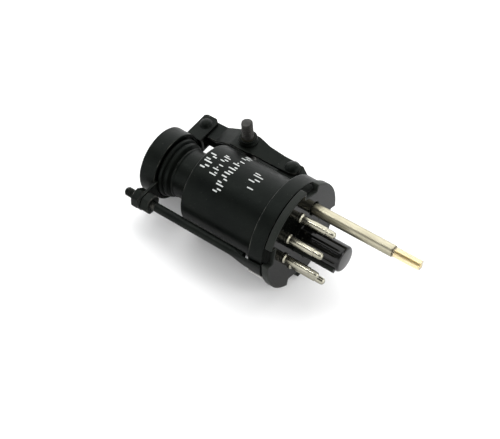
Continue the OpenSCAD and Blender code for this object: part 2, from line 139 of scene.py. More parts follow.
class Paint:
    """A Principled material and short ways to wire nodes into it."""

    def __init__(self, name, **fixed):
        self.mat = bpy.data.materials.new(name)
        self.mat.use_nodes = True
        self.tree = self.mat.node_tree
        self.tree.nodes.clear()
        out = self.tree.nodes.new("ShaderNodeOutputMaterial")
        self.shader = self.tree.nodes.new("ShaderNodeBsdfPrincipled")
        self.tree.links.new(self.shader.outputs["BSDF"], out.inputs["Surface"])
        for socket, value in fixed.items():
            self.shader.inputs[socket.replace("_", " ")].default_value = value
        coords = self.tree.nodes.new("ShaderNodeTexCoord")
        turn = self.tree.nodes.new("ShaderNodeMapping")
        turn.inputs["Rotation"].default_value = (0, LEAN, 0)
        self.tree.links.new(coords.outputs["Object"], turn.inputs["Vector"])
        self.along = turn.outputs["Vector"]  # x runs along the valve's axis

    def node(self, kind, **inputs):
        n = self.tree.nodes.new(kind)
        for socket, value in inputs.items():
            self.wire(n.inputs[socket.replace("_", " ")], value)
        return n

    def wire(self, socket, value):
        if isinstance(value, bpy.types.NodeSocket):
            self.tree.links.new(value, socket)
        else:
            socket.default_value = value

    def noise(self, size_mm, stretch=(1, 1, 1), detail=4.0, rough=0.55):
        """Noise whose blobs are about size_mm across, longer by stretch along each axis of the valve."""
        scaled = self.node("ShaderNodeMapping", Vector=self.along,
                           Scale=tuple(1.0 / s for s in stretch))
        n = self.node("ShaderNodeTexNoise", Vector=scaled.outputs["Vector"],
                      Scale=1 / (size_mm * MM), Detail=detail, Roughness=rough)
        return n.outputs["Fac"]

    def ramp(self, fac, *stops):
        n = self.node("ShaderNodeValToRGB", Fac=fac)
        fill(n.color_ramp, stops)
        return n.outputs["Color"]

    def math(self, op, a, b):
        n = self.tree.nodes.new("ShaderNodeMath")
        n.operation = op
        self.wire(n.inputs[0], a)
        self.wire(n.inputs[1], b)
        return n.outputs["Value"]

    def mix(self, fac, a, b):
        n = self.tree.nodes.new("ShaderNodeMix")
        n.data_type = "RGBA"
        self.wire(n.inputs[0], fac)
        self.wire(n.inputs[6], a if isinstance(a, bpy.types.NodeSocket) else (*a, 1))
        self.wire(n.inputs[7], b if isinstance(b, bpy.types.NodeSocket) else (*b, 1))
        return n.outputs[2]

    def attribute(self, name):
        n = self.tree.nodes.new("ShaderNodeAttribute")
        n.attribute_name = name
        return n.outputs["Fac"]

    def colour(self, value):
        self.wire(self.shader.inputs["Base Color"], value)

    def roughness(self, value):
        self.wire(self.shader.inputs["Roughness"], value)

    def bump(self, *heights):
        """Each height is (source, depth in mm)."""
        normal = None
        for source, depth in heights:
            n = self.node("ShaderNodeBump", Height=source, Strength=1.0, Distance=depth * MM)
            if normal is not None:
                self.tree.links.new(normal, n.inputs["Normal"])
            normal = n.outputs["Normal"]
        self.tree.links.new(normal, self.shader.inputs["Normal"])


def enamel(name, dark, light, worn, low, high, wear_at=0.42):
    """Satin black paint on metal: uneven sheen between the roughnesses low and high, fine grain, and metal
    showing along worn edges."""
    p = Paint(name, IOR=1.5, Specular_IOR_Level=0.07, Specular_Tint=(0.88, 1.0, 0.93, 1))
    cloud = p.noise(7.0, detail=5.0)
    grain = p.noise(0.35, detail=3.0)
    base = p.mix(p.ramp(cloud, (0.35, 0.0), (0.68, 1.0)), dark, light)
    speck = p.ramp(p.noise(0.6, detail=2.0), (0.70, 0.0), (0.76, 1.0))
    base = p.mix(p.math("MULTIPLY", speck, 0.35), base, worn)
    rub = p.math("MULTIPLY", p.attribute("wear"), p.noise(2.6, detail=7.0, rough=0.62))
    rubbed = p.ramp(rub, (wear_at, 0.0), (wear_at + 0.26, 1.0))
    p.colour(p.mix(rubbed, base, worn))
    sheen = p.ramp(p.noise(3.0, detail=6.0, rough=0.65), (0.3, low), (0.7, high))
    p.roughness(sheen)
    p.bump((p.noise(2.4, detail=2.0), 0.02), (grain, 0.012))
    return p.mat


POLISHED = -1.0  # wear value that asks the phenolic for a polished surface


def phenolic():
    """Glossy black moulding with faint smears and a little dust."""
    p = Paint("phenolic", IOR=1.56)
    dust = p.ramp(p.noise(0.5, detail=4.0, rough=0.7), (0.63, 0.0), (0.72, 1.0))
    base = p.mix(p.ramp(p.noise(9.0), (0.4, 0.0), (0.7, 1.0)),
                 (0.0012, 0.0014, 0.0012), (0.0035, 0.0038, 0.0032))
    dusty = p.mix(p.math("MULTIPLY", dust, 0.07), base, (0.30, 0.29, 0.27))
    # rubbed edges are paler and duller, from little wear to much
    little, much = 0.10, 0.28
    pale = p.ramp(p.attribute("wear"), (little, (0.0, 0.0, 0.0)), (much, (0.012, 0.014, 0.012)))
    light = p.node("ShaderNodeVectorMath", Vector=dusty)
    p.tree.links.new(pale, light.inputs[1])
    p.colour(light.outputs["Vector"])
    smear = p.noise(5.0, stretch=(1, 2.5, 1), detail=6.0, rough=0.6)
    gloss = p.ramp(smear, (0.35, 0.06), (0.72, 0.18))
    rim = p.ramp(p.attribute("wear"), (little, 0.0), (much, 1.0))
    polished = p.ramp(p.math("MULTIPLY", p.attribute("wear"), 1 / POLISHED), (0.4, 0.0), (0.6, 1.0))
    satin = p.mix(rim, gloss, (0.42, 0.42, 0.42))
    p.roughness(p.mix(polished, satin, (0.05, 0.05, 0.05)))
    level = p.math("ADD", p.math("MULTIPLY", polished, 0.13), 0.06)
    p.wire(p.shader.inputs["Specular IOR Level"], level)
    p.bump((p.noise(4.0, detail=1.0), 0.002))
    return p.mat


def plated(name, bright, dull, low, high, streak):
    """Drawn and plated metal with marks that run along the valve's axis, longer by streak."""
    depth = 0.0008
    p = Paint(name, Metallic=1.0)
    drawn = p.noise(0.35, stretch=(streak, 1, 1), detail=4.0)
    stain = p.noise(2.6, stretch=(2.0, 1, 1), detail=6.0, rough=0.65)
    p.colour(p.mix(p.ramp(stain, (0.38, 0.0), (0.70, 1.0)), bright, dull))
    both = p.math("ADD", p.math("MULTIPLY", drawn, 0.5), p.math("MULTIPLY", stain, 0.5))
    p.roughness(p.ramp(both, (0.36, low), (0.66, high)))
    p.bump((drawn, depth), (p.noise(1.3, detail=3.0), depth))
    return p.mat


def dull_metal(name, bright, dull, low, high, metallic=1.0):
    """Unpolished metal with a cloudy finish."""
    p = Paint(name, Metallic=metallic)
    cloud = p.noise(1.6, detail=6.0, rough=0.65)
    p.colour(p.mix(p.ramp(cloud, (0.35, 0.0), (0.68, 1.0)), bright, dull))
    p.roughness(p.ramp(p.noise(0.8, detail=4.0), (0.3, low), (0.7, high)))
    p.bump((p.noise(0.4, detail=3.0), 0.01))
    return p.mat


def amber():
    """Clear amber tubing with small clouds and scuffs."""
    p = Paint("amber_sleeve", IOR=1.45, Transmission_Weight=0.9)
    cloud = p.noise(1.8, stretch=(3, 1, 1), detail=5.0)
    p.colour(p.mix(p.ramp(cloud, (0.3, 0.0), (0.75, 1.0)), (0.82, 0.72, 0.47), (0.74, 0.60, 0.33)))
    p.roughness(p.ramp(p.noise(0.8, detail=5.0), (0.35, 0.06), (0.72, 0.28)))
    p.bump((p.noise(1.2, stretch=(4, 1, 1)), 0.02))
    return p.mat


def glass():
    p = Paint("sealing_glass", IOR=1.5, Transmission_Weight=0.85)
    p.colour(p.ramp(p.noise(2.0), (0.3, (0.70, 0.80, 0.76)), (0.7, (0.86, 0.92, 0.90))))
    p.roughness(p.ramp(p.noise(1.0), (0.3, 0.04), (0.7, 0.14)))
    p.bump((p.noise(1.5), 0.01))
    return p.mat


def ink():
    """White marking ink, thin in places."""
    p = Paint("marking_ink")
    thin = p.ramp(p.noise(0.35, detail=5.0, rough=0.7), (0.30, 1.0), (0.42, 0.0))
    p.colour(p.mix(p.math("MULTIPLY", thin, 0.55), (0.47, 0.49, 0.48), (0.12, 0.13, 0.12)))
    p.roughness(p.ramp(p.noise(0.7), (0.3, 0.5), (0.7, 0.7)))
    p.bump((p.noise(0.3), 0.008))
    return p.mat


def paper():
    """Pale seamless studio floor."""
    p = Paint("studio_floor")
    p.colour(p.ramp(p.noise(60.0), (0.3, (0.90, 0.905, 0.91)), (0.7, (0.92, 0.92, 0.92))))
    p.roughness(p.ramp(p.noise(20.0), (0.3, 0.7), (0.7, 0.8)))
    return p.mat


BLACK = enamel("black_enamel", (0.0010, 0.0015, 0.0013), (0.0030, 0.0038, 0.0030),
               (0.06, 0.06, 0.052), 0.33, 0.46)
# a lighter copy of the black enamel for the strut, ear, brackets, bow strips, rivets, nuts and corrugated
# wall: its paler base colours are painted highlight, and its paler worn colour and earlier wear are handling
# wear
BLACK_THIN = enamel("black_enamel_handled_and_lit", (0.0018, 0.0024, 0.0020), (0.0052, 0.0062, 0.0050),
                    (0.09, 0.088, 0.078), 0.30, 0.46, wear_at=0.38)
# blackened steel of the tuning screw; on the stem header the same dark colour is painted shade
BLACKENED_STEEL_AND_SHADE = dull_metal("blackened_steel_and_shade", (0.016, 0.016, 0.015), (0.040, 0.038, 0.035),
                         0.34, 0.55, metallic=0.8)
PHENOLIC = phenolic()
NICKEL = plated("warm_nickel", (0.31, 0.30, 0.245), (0.22, 0.21, 0.16), 0.22, 0.28, streak=14.0)
PROBE_METAL = plated("probe_nickel", (0.34, 0.32, 0.24), (0.28, 0.26, 0.19), 0.32, 0.38, streak=20.0)
STEEL = dull_metal("dull_steel", (0.50, 0.50, 0.48), (0.34, 0.33, 0.31), 0.3, 0.5)
# darker than the black enamel: painted shade for the crimp lugs deep in the base's rim notches
LUG_SHADE_BLACK = enamel("lug_black_painted_shade", (0.0006, 0.0008, 0.0006), (0.0016, 0.0018, 0.0014),
              (0.02, 0.02, 0.018), 0.7, 0.9, wear_at=0.6)
DIRTY_BRASS = enamel("dirty_brass", (0.006, 0.006, 0.005), (0.02, 0.017, 0.011),
                     (0.42, 0.31, 0.13), 0.3, 0.5, wear_at=0.34)
BRASS = dull_metal("machined_brass", (0.72, 0.55, 0.27), (0.50, 0.37, 0.17), 0.18, 0.4)
COPPER = dull_metal("clean_copper", (0.74, 0.42, 0.28), (0.55, 0.30, 0.19), 0.2, 0.42)
GOLD = dull_metal("gold_plate", (0.86, 0.66, 0.30), (0.70, 0.52, 0.22), 0.15, 0.3)
OXIDE = dull_metal("white_oxide", (0.82, 0.81, 0.78), (0.70, 0.69, 0.66), 0.7, 0.9, metallic=0.0)
MICA = dull_metal("pale_mica", (0.72, 0.68, 0.56), (0.60, 0.56, 0.45), 0.25, 0.45, metallic=0.0)
AMBER = amber()
GLASS = glass()
INK = ink()
FINISH = {  # material slot: material
    "black_enamel": BLACK, "phenolic": PHENOLIC, "nickel": NICKEL, "steel": STEEL, "oxide": OXIDE,
    "brass": BRASS, "copper": COPPER, "gold_mesh": GOLD, "glass": GLASS, "amber_sleeve": AMBER,
    "mica": MICA,
}


# ---------------------------------------------------------------- mesh tools

TINY = 1e-6
GUARD = 0.25  # width of the strip beside an edge over which its wear fades out
FACE_WEIGHT = 80  # how far the large faces rule the shading


def circle(r, z, seg):
    """Points of a level circle round local z."""
    return [(r * math.cos(math.tau * i / seg), r * math.sin(math.tau * i / seg), z) for i in range(seg)]


class Shape:
    """Vertices in the upright frame, each with a wear value, and the faces between them."""

    def __init__(self):
        self.verts, self.wear, self.faces = [], [], []

    def point(self, p, wear):
        self.verts.append(Vector(p[:3]))
        self.wear.append(wear)
        return len(self.verts) - 1

    def band(self, a, b, flip=False):
        """Quads between two closed rows of vertex numbers."""
        for i in range(len(a)):
            j = (i + 1) % len(a)
            quad = (a[i], a[j], b[j], b[i])
            self.faces.append(tuple(reversed(quad)) if flip else quad)

    def loft(self, rings, wears, loop=False, at=None):
        """Joins rings of equal length. A ring of one point is a pole. Loop joins the last to the first."""
        at = at or Matrix.Identity(4)
        ids = [[self.point(at @ Vector(p), w) for p in ring] for ring, w in zip(rings, wears)]
        pairs = list(zip(ids, ids[1:])) + ([(ids[-1], ids[0])] if loop else [])
        for a, b in pairs:
            if len(a) == 1:
                self.faces += [(a[0], b[(i + 1) % len(b)], b[i]) for i in range(len(b))]
            elif len(b) == 1:
                self.faces += [(a[i], a[(i + 1) % len(a)], b[0]) for i in range(len(a))]
            else:
                self.band(a, b)
        if not loop:
            for ring, flip in ((ids[0], True), (ids[-1], False)):
                if len(ring) > 2:
                    self.faces.append(tuple(reversed(ring)) if flip else tuple(ring))
        return self

    def turned(self, profile, at=None, seg=96, axis_ends=False):
        """Revolves [radius, height, wear] points about local z. A profile that starts and ends on the
        axis has axis_ends, and any other one is a closed ring."""
        rings = [circle(r, z, seg) if r > TINY else [(0, 0, z)] for r, z, _ in profile]
        return self.loft(rings, [w for _, _, w in profile], loop=not axis_ends, at=at)

    def sector(self, profile, a0, a1, steps):
        """Part of a revolution between two angles, closed at both ends."""
        rings = []
        for k in range(steps + 1):
            a = a0 + (a1 - a0) * k / steps
            rings.append([self.point(polar(a, r, z), w) for r, z, w in profile])
        for a, b in zip(rings, rings[1:]):
            self.band(a, b)
        flat = [Vector((r, z, 0)) for r, z, _ in profile]
        for t in tessellate_polygon([flat]):
            self.faces.append(tuple(rings[0][i] for i in t))
            self.faces.append(tuple(rings[-1][i] for i in reversed(t)))
        return self

    def plate(self, outline, z0, z1, edge, holes=(), at=None):
        """Flat plate between two local heights with rounded edges. Outline and holes run anticlockwise.
        A row of points without wear, GUARD inside each edge, keeps the wear off the flat faces."""
        at = at or Matrix.Identity(4)
        steps = [(edge, 0.0, 0.3), (edge * 0.3, edge * 0.3, 1.0), (0.0, edge, 0.3)]  # inset, depth, wear
        levels = [(i, z0 + d, w) for i, d, w in steps] + [(i, z1 - d, w) for i, d, w in reversed(steps)]
        caps = {0: [], len(levels) - 1: []}
        for loop, sign in [(outline, 1)] + [(h, -1) for h in holes]:
            before = None
            for k, (inset, z, w) in enumerate(levels):
                ids = [self.point(at @ Vector((x, y, z)), w) for x, y in offset(loop, inset * sign)]
                if before:
                    self.band(before, ids, flip=sign < 0)
                before = ids
                if k in caps:
                    inner = offset(loop, (inset + GUARD) * sign)
                    inner_ids = [self.point(at @ Vector((x, y, z)), 0.0) for x, y in inner]
                    self.band(ids, inner_ids, flip=(k != 0) != (sign > 0))
                    caps[k].append((inner_ids, [Vector((x, y, 0)) for x, y in inner]))
        for k, loops in caps.items():
            flat = [i for ids, _ in loops for i in ids]
            spots = [p for _, points in loops for p in points]
            for t in tessellate_polygon([points for _, points in loops]):
                a, b, c = (flat[i] for i in t)
                pa, pb, pc = (spots[i] for i in t)
                facing_up = (pb - pa).cross(pc - pa).z > 0
                self.faces.append((a, b, c) if facing_up == (k != 0) else (a, c, b))
        return self

    def piece(self, name, material, body, nodes=(), slot=None, sharp=38, weighted=True):
        """Makes the object in the row frame and lets it ride on a body. Edges over sharp degrees stay
        sharp."""
        mesh = bpy.data.meshes.new(name)
        mesh.from_pydata([(ROW @ v) * MM for v in self.verts], [], self.faces)
        mesh.validate()
        edit = bmesh.new()
        edit.from_mesh(mesh)
        bmesh.ops.recalc_face_normals(edit, faces=edit.faces)
        edit.to_mesh(mesh)
        edit.free()
        attribute = mesh.attributes.new("wear", "FLOAT", "POINT")
        attribute.data.foreach_set("value", self.wear)
        mesh.materials.append(material)
        mesh.shade_smooth()
        mesh.set_sharp_from_angle(angle=math.radians(sharp))
        obj = bpy.data.objects.new(name, mesh)
        SCENE.collection.objects.link(obj)
        if weighted:
            m = obj.modifiers.new("normals", "WEIGHTED_NORMAL")
            m.keep_sharp = True
            m.weight = FACE_WEIGHT
        if body:
            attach(obj, body)
        if nodes:
            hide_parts(*nodes)
        return obj


def offset(loop, inset):
    """The closed 2D loop moved inwards by inset; the loop runs anticlockwise round its area."""
    if abs(inset) < TINY:
        return [tuple(p) for p in loop]
    out = []
    n = len(loop)
    for i in range(n):
        a, b, c = Vector(loop[i - 1]), Vector(loop[i]), Vector(loop[(i + 1) % n])
        u, v = (b - a).normalized(), (c - b).normalized()
        nu, nv = Vector((-u.y, u.x)), Vector((-v.y, v.x))
        m = nu + nv
        if m.length < TINY:
            m = nu.copy()
        m.normalize()
        k = max(0.45, m.dot(nu))  # holds back the points of acute corners
        q = b + m * (inset / k)
        out.append((q.x, q.y))
    return out


def rounded(points, radius=0.3, steps=4, closed=True, worn=1.0):
    """Rounds the corners of a profile and gives [x, y, wear] points. A corner that sticks out is worn.
    A point may carry its own radius as a third number."""
    straight = math.radians(176)  # a wider corner stays as it is
    share = 0.42  # of a side, at most, goes to the rounding at one end
    least = 0.03  # room that a point without wear needs beside the rounding
    n = len(points)
    pts = [Vector(p[:2]) for p in points]
    area = sum(pts[i].x * pts[(i + 1) % n].y - pts[(i + 1) % n].x * pts[i].y for i in range(n))
    out = []
    for i, p in enumerate(pts):
        own = points[i][2] if len(points[i]) > 2 else radius
        if (not closed and i in (0, n - 1)) or own <= 0:
            out.append((p.x, p.y, 0.0))
            continue
        a, c = pts[i - 1] - p, pts[(i + 1) % n] - p
        la, lc = a.length, c.length
        a.normalize()
        c.normalize()
        inner = math.acos(max(-1.0, min(1.0, a.dot(c))))
        if inner > straight:
            out.append((p.x, p.y, 0.0))
            continue
        cut = min(own / math.tan(inner / 2), share * la, share * lc)
        r = cut * math.tan(inner / 2)
        centre = p + (a + c).normalized() * (r / math.sin(inner / 2))
        start, end = p + a * cut, p + c * cut
        w = worn if (-a).cross(c) * area > 0 else 0.0
        room_a, room_c = min(GUARD, 0.45 * la - cut), min(GUARD, 0.45 * lc - cut)
        if w and room_a > least:
            q = start + a * room_a
            out.append((q.x, q.y, 0.0))
        s = start - centre
        angle = s.angle_signed(end - centre)
        for k in range(steps + 1):
            t = k / steps
            q = centre + Matrix.Rotation(-angle * t, 2) @ s
            out.append((q.x, q.y, w * (0.45 + 0.55 * math.sin(math.pi * t))))  # worn most in the middle
        if w and room_c > least:
            q = end + c * room_c
            out.append((q.x, q.y, 0.0))
    return out


def disc_loop(x, y, r, seg):
    """A level circle as a flat loop."""
    return [(x + px, y + py) for px, py, _ in circle(r, 0, seg)]


def flat2(points):
    """Drops the wear from what rounded() gives."""
    return [(x, y) for x, y, _ in points]


def threaded(shape, r, pitch, z0, z1, at, depth, chamfer, seg=48, fade_low=True):
    """A screw thread between two local heights, right-handed above local zero and left-handed below. Both
    ends are chamfered, or only the upper one without fade_low."""
    per_turn = 12  # rings in one turn of the thread
    flank, root = 3.0, 0.15  # steepness of the flanks, and how far they start above the root
    slant, wear = 0.9, 0.75  # of the chamfer; of the whole thread
    count = int((z1 - z0) / pitch * per_turn)
    rings = [[(0, 0, z0)]]
    for k in range(count + 1):
        z = z0 + (z1 - z0) * k / count
        end = min(z - z0, z1 - z) if fade_low else z1 - z
        limit = r - max(0.0, chamfer - end) * slant
        ring = []
        for i in range(seg):
            t = i / seg
            phase = (abs(z) / pitch - t) % 1.0
            wave = min(1.0, max(0.0, (0.5 - abs(phase - 0.5)) * flank - root))
            rr = min(r - depth * (1 - wave), limit)
            ring.append((rr * math.cos(math.tau * t), rr * math.sin(math.tau * t), z))
        rings.append(ring)
    rings.append([(0, 0, z1)])
    wears = [0.0] + [wear] * (count + 1) + [0.0]
    return shape.loft(rings, wears, at=at)


def hexagon(shape, across, bore, z0, z1, at):
    """A chamfered hexagon nut with a plain bore."""
    chamfer, mouth, seg = 0.35, 0.25, 72  # mouth is the chamfer of the bore
    flat = across / 2
    corner = flat / math.cos(math.pi / 6)
    rings, wears = [], []
    half = [(0.0, corner - chamfer * 1.6, 0.9), (chamfer * 0.5, corner - chamfer * 0.55, 0.9),
            (chamfer, corner, 0.5), (chamfer + 0.2, corner + 1, 0.0)]  # depth, limit, wear
    levels = [(z0 + d, limit, w) for d, limit, w in half]
    levels += [(z1 - d, limit, w) for d, limit, w in reversed(half)]
    for z, limit, w in levels:
        ring = []
        for i in range(seg):
            a = math.tau * i / seg
            m = (a + math.pi / 6) % (math.pi / 3) - math.pi / 6
            rr = min(flat / math.cos(m), limit, corner - 0.06)
            ring.append((rr * math.cos(a), rr * math.sin(a), z))
        rings.append(ring)
        wears.append(w)
    for z, rr in ((z1, bore + mouth), (z1 - mouth, bore), (z0 + mouth, bore), (z0, bore + mouth)):
        rings.append(circle(rr, z, seg))
        wears.append(0.3)
    return shape.loft(rings, wears, loop=True, at=at)


# ---------------------------------------------------------------- base

def notched_rim(r, depth, width):
    """Round outline with four notches, anticlockwise."""
    pts = []
    inner, half, steps = r - depth, width / 2, 30
    inner_corner, outer_corner = 0.35, 0.25  # radii
    edge = math.degrees(math.asin(half / r))
    x_edge = math.sqrt(r * r - half * half)
    for k, a in enumerate(sorted(NOTCHES)):
        ux, uy, _ = polar(a, 1.0)
        for u, v, corner in ((x_edge, -half, outer_corner), (inner, -half, inner_corner),
                             (inner, half, inner_corner), (x_edge, half, outer_corner)):
            pts.append((u * ux - v * uy, u * uy + v * ux, corner))
        after = sorted(NOTCHES)[(k + 1) % 4] + (360 if k == 3 else 0)
        a0, a1 = a + edge, after - edge
        pts += [(*polar(a0 + (a1 - a0) * i / steps, r)[:2], 0) for i in range(1, steps)]
    return flat2(rounded(pts, steps=3))


def make_base():
    s = Shape()
    key_bore = 2.8
    # the disc with its notches, the empty contact positions and the ways for the probe and the key's bore
    holes = [disc_loop(*polar(a, PIN_R)[:2], 1.03, 28) for a in EMPTY]
    holes.append(disc_loop(*polar(PROBE_ANGLE, PIN_R)[:2], 2.13, 40))
    holes.append(disc_loop(0, 0, key_bore, 40))
    s.plate(notched_rim(BASE_R, depth=2.6, width=5.5), 0.0, BASE_T, holes=holes, edge=0.28)
    # register close under the shell, a ring that the holes miss
    ring = [(11.0, BASE_T - 0.3), (13.9, BASE_T - 0.3), (13.9, 3.0), (11.0, 3.0)]
    s.turned(rounded(ring, 0.2, worn=0))
    # raised ring round the key and the key itself, a deep cup with a rounded closed end
    key = [(0, -14.6), (3.95, -14.6, 0.75), (3.95, -0.35, 0), (4.35, 0.3, 0), (key_bore, 0.3, 0),
           (key_bore, -13.0, 0.5), (0, -13.0)]
    smooth = rounded(key, 0.4, steps=6, closed=False, worn=0)
    s.turned([(r, z, POLISHED) for r, z, _ in smooth], axis_ends=True)
    # locating rib
    turn = Matrix.Rotation(math.radians(PROBE_ANGLE - 157.5), 4, "Z")
    s.plate([(3.3, -1.0), (4.62, -1.0), (4.85, -0.75), (4.85, 0.75), (4.62, 1.0), (3.3, 1.0)],
            -13.4, 0.2, edge=0.25, at=turn)
    s.piece("base_moulding", PHENOLIC, "valve", ["octal_base"], "phenolic")


def make_shell():
    s, lugs = Shape(), Shape()
    r, bore = SHELL_R, CAN_R + SLIP
    wall = [(r - WALL, 2.7, 0.1), (r, 2.7, 0.15), (r, SHELL_TOP, 0.55), (bore, SHELL_TOP, 0.1),
            (bore, SHELL_TOP - WALL, 0.1), (r - WALL, SHELL_TOP - WALL, 0.3)]
    s.turned(rounded(wall, 0.2, steps=5), seg=144)
    # crimp lugs in the rim notches of the base, 4.7 mm wide at a radius of 15.2 mm
    half = math.degrees(math.asin(2.35 / 15.2))
    lug = rounded([(r - 0.1, 1.1, 0.35), (r - 0.1, 3.0, 0.1), (r - 0.7, 3.0, 0.1), (r - 0.9, 1.9, 0.1),
                   (r - 1.6, 1.9, 0.12), (r - 1.6, 1.1, 0.12)], steps=3)
    for a in NOTCHES:
        lugs.sector(lug, a - half, a + half, 12)
    s.piece("shell", BLACK, "valve", ["base_shell"], "black_enamel")
    # the lugs take the darker black, painted shade for their notches
    lugs.piece("shell_lugs", LUG_SHADE_BLACK, "valve", ["base_shell"], "black_enamel")


def make_pins():
    r = 1.18
    pin = rounded([(0, -11.5), (0.55, -11.46, 0.2), (0.95, -11.1, 0.3), (1.05, -10.4, 0.3),
                   (1.06, -8.95, 0.04), (0.95, -8.85, 0.04), (0.95, -8.65, 0.04), (r, -8.5, 0.06),
                   (r, -1.05, 0.1), (1.06, -0.92, 0.05), (1.06, -0.80, 0.05), (1.30, -0.62, 0.1),
                   (1.5, -0.45, 0.14), (1.5, -0.02, 0.12), (1.0, -0.02, 0.05), (1.0, 3.6, 0.1), (0, 3.6)],
                  closed=False, worn=0)
    # a small bead of solder closes the pin's end
    bead = rounded([(0, -11.5), (0.34, -11.47, 0.1), (0.5, -11.3, 0.1), (0.45, -11.0, 0.1), (0, -11.0)],
                   closed=False, worn=0)
    for number, angle in PINS.items():
        s = Shape()
        x, y, _ = polar(angle, PIN_R)
        s.turned(pin, axis_ends=True, seg=56, at=place(x, y))
        s.turned(bead, axis_ends=True, seg=24, at=place(x + 0.08, y))
        s.piece("contact_pin_%d" % number, NICKEL, "valve", ["base_pin_%d" % number], "nickel")


def make_probe():
    x, y, _ = polar(PROBE_ANGLE, PIN_R)
    at = place(x, y)
    s = Shape()
    # the tube narrows at top, where it passes through the base
    r, bore, throat, seg, bottom, top = 1.78, 1.53, 1.28, 72, -26.4, -0.4
    lip, levels = 0.14, 90
    # dimples and a flat where the tube is crimped on to its sleeve: angle, height, depth, spread round the
    # tube in degrees, spread along it
    dents = ((-64, -22.6, 0.22, 16, 0.5), (116, -22.6, 0.2, 16, 0.5), (-20, -24.9, 0.05, 40, 0.35))
    outer = [(r - 0.10, bottom), (r - 0.03, bottom + 0.04), (r, bottom + lip)]
    outer += [(r, bottom + lip + (top - bottom - lip) * (k / levels)) for k in range(1, levels + 1)]
    rings = []
    for rr, z in outer:
        ring = []
        for i in range(seg):
            a = math.tau * i / seg
            dent = 0.0
            for da, dz, depth, wa, wz in dents:
                d = (math.degrees(a) - da + 180) % 360 - 180
                dent += depth * math.exp(-(d / wa) ** 2 - ((z - dz) / wz) ** 2)
            ring.append(((rr - dent) * math.cos(a), (rr - dent) * math.sin(a), z))
        rings.append(ring)
    for rr, z in ((bore, top), (bore, 30.1), (throat, 30.1), (throat, top - 0.25), (bore, top - 0.25),
                  (bore, bottom + 0.05), (1.60, bottom)):
        rings.append(circle(rr, z, seg))
    s.loft(rings, [0] * len(rings), loop=True, at=at)
    s.piece("probe_tube", PROBE_METAL, "valve", ["coax_tube"], "nickel")

    s = Shape()
    seg, levels, z0, z1, hole = 48, 40, -35.2, -21.4, 0.5
    cut = 1.2  # length of the free end that is cut a little unevenly
    rings = []
    for k in range(levels + 1):
        z = z0 + (z1 - z0) * k / levels
        end = max(0.0, 1 - (z - z0) / cut)
        ring = []
        for i in range(seg):
            a = math.tau * i / seg
            rr = 1.5 - 0.05 * end - 0.03 * end * math.sin(3 * a)
            lift = 0.28 * end * (0.5 + 0.5 * math.sin(a + 0.8) + 0.25 * math.sin(4 * a))
            ring.append((rr * math.cos(a), rr * math.sin(a), z + lift))
        rings.append(ring)
    rings += [circle(hole, z1, seg), circle(hole, z0 + 0.3, seg)]
    s.loft(rings, [0] * len(rings), loop=True, at=at)
    s.piece("probe_sleeve", AMBER, "valve", ["coax_sleeve"], "amber_sleeve")

    s = Shape()
    wire = [(0, -34.6), (0.4, -34.6, 0.12), (0.4, 31.9, 0.1), (0, 31.9)]
    s.turned(rounded(wire, closed=False, worn=0), axis_ends=True, seg=28, at=at)
    s.piece("probe_wire", NICKEL, "valve", ["coax_wire"], "nickel")


# ---------------------------------------------------------------- can, neck and head

def make_can():
    s = Shape()
    r, bore = CAN_R, NECK_R + SLIP
    wall = [(r - WALL, 3.4, 0.1), (r, 3.4, 0.1), (r, CAN_TOP, 0.7), (bore, CAN_TOP, 0.05),
            (bore, CAN_TOP - WALL, 0.05), (r - WALL, CAN_TOP - WALL, 0.4)]
    s.turned(rounded(wall, steps=7), seg=160)
    s.piece("can", BLACK, "valve", ["can_body"], "black_enamel")

    s = Shape()
    r, inner, flange = NECK_R, NECK_R - 0.6, NECK_R + 1.2
    low, seat = CAN_TOP - 1.4, CAN_TOP - WALL - SLIP  # the flange sits under the can's top
    neck = [(inner, low, 0.05), (flange, low, 0.05), (flange, seat, 0.05), (r, seat, 0.05),
            (r, NECK_TOP - 0.75, 0.25), (r + 0.3, NECK_TOP - 0.35, 0.2), (r + 0.3, NECK_TOP, 0.12),
            (inner, NECK_TOP, 0.1)]
    s.turned(rounded(neck), seg=112)
    # weld bead where the neck enters the can
    bead = [(r - 0.1, CAN_TOP - 0.1), (r + 0.45, CAN_TOP - 0.1), (r + 0.32, CAN_TOP + 0.14),
            (r - 0.1, CAN_TOP + 0.38)]
    s.turned(rounded(bead, 0.15), seg=112)
    s.piece("neck", BLACK, "valve", ["neck_sleeve"], "black_enamel")


def make_diaphragm():
    waves = [(7.4, 41.8), (7.2, 42.3), (8.5, 42.9), (8.8, 43.6), (8.5, 44.1), (8.0, 44.4), (9.0, 44.7),
             (9.3, 45.2), (9.1, 45.8), (7.6, 46.1), (7.4, 46.7)]
    crest = 8.6  # the folds are worn outside this radius
    line = rounded(waves, 0.35, closed=False, worn=0)
    back = [(r - (0.3 if i < 3 or i > len(line) - 4 else 0.42), z, 0) for i, (r, z, _) in enumerate(line)]
    s = Shape()
    s.turned([(r, z, 0.4 if r > crest else 0.0) for r, z, _ in line] + list(reversed(back)), seg=112)
    obj = s.piece("corrugated_wall", BLACK_THIN, None, ["diaphragm"], "black_enamel", sharp=75)
    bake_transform(obj)


